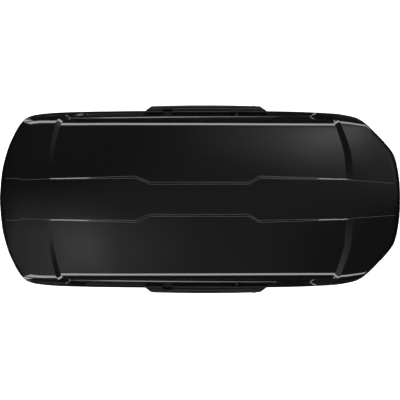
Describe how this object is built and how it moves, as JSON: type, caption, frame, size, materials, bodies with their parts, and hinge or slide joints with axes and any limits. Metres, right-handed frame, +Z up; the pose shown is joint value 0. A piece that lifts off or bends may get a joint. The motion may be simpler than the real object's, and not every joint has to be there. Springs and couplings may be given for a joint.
{
  "type": "roof cargo box",
  "caption": "Long low roof cargo box with a gloss lid that opens from either side, side grips and slide latches, a matte tray and clamps for two crossbars.",
  "frame": {"origin": "middle of the box's footprint, at the feet of the crossbar clamps", "axes": "+X to the vehicle's rear, +Y to its right, +Z up"},
  "size_m": [1.9498, 0.9152, 0.4789],
  "materials": {
    "lid_gloss": "high gloss black ABS",
    "tray_black": "grained black ABS",
    "grip_black": "fine textured black",
    "moulded_black": "moulded nylon",
    "knob_black": "moulded nylon, soft sheen",
    "button_grey": "silver grey moulded",
    "zinc_steel": "zinc plated",
    "spring_steel": "oiled spring steel",
    "aluminium": "extruded, satin",
    "chrome": "polished",
    "rubber": "foamed rubber",
    "webbing": "woven polyester"
  },
  "bodies": {
    "base": {"base_tray": "tray_black", "rim_seal": "rubber", "bracket_rivets": "zinc_steel", "floor_rail_left": "zinc_steel", "striker_left": "zinc_steel", "base_bracket_left": "zinc_steel", "base_pins_left": "zinc_steel", "lift_springs_left": "spring_steel", "floor_rail_right": "zinc_steel", "striker_right": "zinc_steel", "base_bracket_right": "zinc_steel", "base_pins_right": "zinc_steel", "lift_springs_right": "spring_steel", "luggage_strap_front": "webbing", "strap_buckle_front": "moulded_black", "luggage_strap_rear": "webbing", "strap_buckle_rear": "moulded_black"},
    "arm_a": {"cross_arm_a_front": "zinc_steel", "cross_arm_a_rear": "zinc_steel"},
    "lid": {"lid_shell": "lid_gloss", "lid_rail_left": "aluminium", "grip_left": "grip_black", "lid_bracket_left": "zinc_steel", "lid_pins_left": "zinc_steel", "lid_rail_right": "aluminium", "grip_right": "grip_black", "lid_bracket_right": "zinc_steel", "lid_pins_right": "zinc_steel"},
    "arm_b": {"cross_arm_b_front": "zinc_steel", "cross_arm_b_rear": "zinc_steel"},
    "latch_left": {"latch_bar_left": "zinc_steel", "slide_button_left": "button_grey"},
    "key_left": {"key_cylinder_left": "chrome"},
    "latch_right": {"latch_bar_right": "zinc_steel", "slide_button_right": "button_grey"},
    "key_right": {"key_cylinder_right": "chrome"},
    "clamp_front_left": {"clamp_front_left_housing": "moulded_black", "clamp_front_left_plate": "moulded_black", "clamp_front_left_jaw_pins": "zinc_steel"},
    "clamp_front_left_knob": {"clamp_front_left_knob": "knob_black"},
    "clamp_front_left_jaw_front": {"clamp_front_left_jaw_front": "moulded_black"},
    "clamp_front_left_jaw_rear": {"clamp_front_left_jaw_rear": "moulded_black"},
    "clamp_front_right": {"clamp_front_right_housing": "moulded_black", "clamp_front_right_plate": "moulded_black", "clamp_front_right_jaw_pins": "zinc_steel"},
    "clamp_front_right_knob": {"clamp_front_right_knob": "knob_black"},
    "clamp_front_right_jaw_front": {"clamp_front_right_jaw_front": "moulded_black"},
    "clamp_front_right_jaw_rear": {"clamp_front_right_jaw_rear": "moulded_black"},
    "clamp_rear_left": {"clamp_rear_left_housing": "moulded_black", "clamp_rear_left_plate": "moulded_black", "clamp_rear_left_jaw_pins": "zinc_steel"},
    "clamp_rear_left_knob": {"clamp_rear_left_knob": "knob_black"},
    "clamp_rear_left_jaw_front": {"clamp_rear_left_jaw_front": "moulded_black"},
    "clamp_rear_left_jaw_rear": {"clamp_rear_left_jaw_rear": "moulded_black"},
    "clamp_rear_right": {"clamp_rear_right_housing": "moulded_black", "clamp_rear_right_plate": "moulded_black", "clamp_rear_right_jaw_pins": "zinc_steel"},
    "clamp_rear_right_knob": {"clamp_rear_right_knob": "knob_black"},
    "clamp_rear_right_jaw_front": {"clamp_rear_right_jaw_front": "moulded_black"},
    "clamp_rear_right_jaw_rear": {"clamp_rear_right_jaw_rear": "moulded_black"}
  },
  "joints": [
    {"name": "open_right_side", "type": "hinge", "parent": "base", "child": "arm_a", "pos_m": [0, -0.39, 0.2], "axis": [1, 0, 0], "range_deg": [0, 50]},
    {"name": "open_left_side", "type": "hinge", "parent": "arm_a", "child": "lid", "pos_m": [0, 0.39, 0.2], "axis": [-1, 0, 0], "range_deg": [0, 50]},
    {"name": "arm_b_pivot", "type": "hinge", "parent": "base", "child": "arm_b", "pos_m": [0, 0.39, 0.2], "axis": [-1, 0, 0], "range_deg": [0, 50]},
    {"name": "latch_left_slide", "type": "slide", "parent": "lid", "child": "latch_left", "axis": [1, 0, 0], "range_m": [0, 0.018]},
    {"name": "key_left_turn", "type": "hinge", "parent": "lid", "child": "key_left", "pos_m": [0.262, -0.445, 0.213], "axis": [0, -1, 0], "range_deg": [0, 90]},
    {"name": "latch_right_slide", "type": "slide", "parent": "lid", "child": "latch_right", "axis": [1, 0, 0], "range_m": [0, 0.018]},
    {"name": "key_right_turn", "type": "hinge", "parent": "lid", "child": "key_right", "pos_m": [0.262, 0.445, 0.213], "axis": [0, 1, 0], "range_deg": [0, 90]},
    {"name": "clamp_front_left_slide", "type": "slide", "parent": "base", "child": "clamp_front_left", "axis": [1, 0, 0], "range_m": [-0.09, 0.09]},
    {"name": "clamp_front_left_knob_turn", "type": "hinge", "parent": "clamp_front_left", "child": "clamp_front_left_knob", "pos_m": [-0.38, -0.23, 0.065], "axis": [0, 0, 1], "range_deg": [0, 720]},
    {"name": "clamp_front_left_jaw_front_pivot", "type": "hinge", "parent": "clamp_front_left", "child": "clamp_front_left_jaw_front", "pos_m": [-0.426, -0.23, 0.033], "axis": [0, 1, 0], "range_deg": [0, 35.01]},
    {"name": "clamp_front_left_jaw_rear_pivot", "type": "hinge", "parent": "clamp_front_left", "child": "clamp_front_left_jaw_rear", "pos_m": [-0.334, -0.23, 0.033], "axis": [0, -1, 0], "range_deg": [0, 35.01]},
    {"name": "clamp_front_right_slide", "type": "slide", "parent": "base", "child": "clamp_front_right", "axis": [1, 0, 0], "range_m": [-0.09, 0.09]},
    {"name": "clamp_front_right_knob_turn", "type": "hinge", "parent": "clamp_front_right", "child": "clamp_front_right_knob", "pos_m": [-0.38, 0.23, 0.065], "axis": [0, 0, 1], "range_deg": [0, 720]},
    {"name": "clamp_front_right_jaw_front_pivot", "type": "hinge", "parent": "clamp_front_right", "child": "clamp_front_right_jaw_front", "pos_m": [-0.426, 0.23, 0.033], "axis": [0, 1, 0], "range_deg": [0, 35.01]},
    {"name": "clamp_front_right_jaw_rear_pivot", "type": "hinge", "parent": "clamp_front_right", "child": "clamp_front_right_jaw_rear", "pos_m": [-0.334, 0.23, 0.033], "axis": [0, -1, 0], "range_deg": [0, 35.01]},
    {"name": "clamp_rear_left_slide", "type": "slide", "parent": "base", "child": "clamp_rear_left", "axis": [1, 0, 0], "range_m": [-0.09, 0.09]},
    {"name": "clamp_rear_left_knob_turn", "type": "hinge", "parent": "clamp_rear_left", "child": "clamp_rear_left_knob", "pos_m": [0.38, -0.23, 0.065], "axis": [0, 0, 1], "range_deg": [0, 720]},
    {"name": "clamp_rear_left_jaw_front_pivot", "type": "hinge", "parent": "clamp_rear_left", "child": "clamp_rear_left_jaw_front", "pos_m": [0.334, -0.23, 0.033], "axis": [0, 1, 0], "range_deg": [0, 35.01]},
    {"name": "clamp_rear_left_jaw_rear_pivot", "type": "hinge", "parent": "clamp_rear_left", "child": "clamp_rear_left_jaw_rear", "pos_m": [0.426, -0.23, 0.033], "axis": [0, -1, 0], "range_deg": [0, 35.01]},
    {"name": "clamp_rear_right_slide", "type": "slide", "parent": "base", "child": "clamp_rear_right", "axis": [1, 0, 0], "range_m": [-0.09, 0.09]},
    {"name": "clamp_rear_right_knob_turn", "type": "hinge", "parent": "clamp_rear_right", "child": "clamp_rear_right_knob", "pos_m": [0.38, 0.23, 0.065], "axis": [0, 0, 1], "range_deg": [0, 720]},
    {"name": "clamp_rear_right_jaw_front_pivot", "type": "hinge", "parent": "clamp_rear_right", "child": "clamp_rear_right_jaw_front", "pos_m": [0.334, 0.23, 0.033], "axis": [0, 1, 0], "range_deg": [0, 35.01]},
    {"name": "clamp_rear_right_jaw_rear_pivot", "type": "hinge", "parent": "clamp_rear_right", "child": "clamp_rear_right_jaw_rear", "pos_m": [0.426, 0.23, 0.033], "axis": [0, -1, 0], "range_deg": [0, 35.01]}
  ],
  "couplings": [
    {"joint": "arm_b_pivot", "follows": "open_left_side", "ratio": 1},
    {"joint": "clamp_front_left_jaw_front_pivot", "follows": "clamp_front_left_knob_turn", "ratio": 0.048611},
    {"joint": "clamp_front_left_jaw_rear_pivot", "follows": "clamp_front_left_knob_turn", "ratio": 0.048611},
    {"joint": "clamp_front_right_jaw_front_pivot", "follows": "clamp_front_right_knob_turn", "ratio": 0.048611},
    {"joint": "clamp_front_right_jaw_rear_pivot", "follows": "clamp_front_right_knob_turn", "ratio": 0.048611},
    {"joint": "clamp_rear_left_jaw_front_pivot", "follows": "clamp_rear_left_knob_turn", "ratio": 0.048611},
    {"joint": "clamp_rear_left_jaw_rear_pivot", "follows": "clamp_rear_left_knob_turn", "ratio": 0.048611},
    {"joint": "clamp_rear_right_jaw_front_pivot", "follows": "clamp_rear_right_knob_turn", "ratio": 0.048611},
    {"joint": "clamp_rear_right_jaw_rear_pivot", "follows": "clamp_rear_right_knob_turn", "ratio": 0.048611}
  ]
}
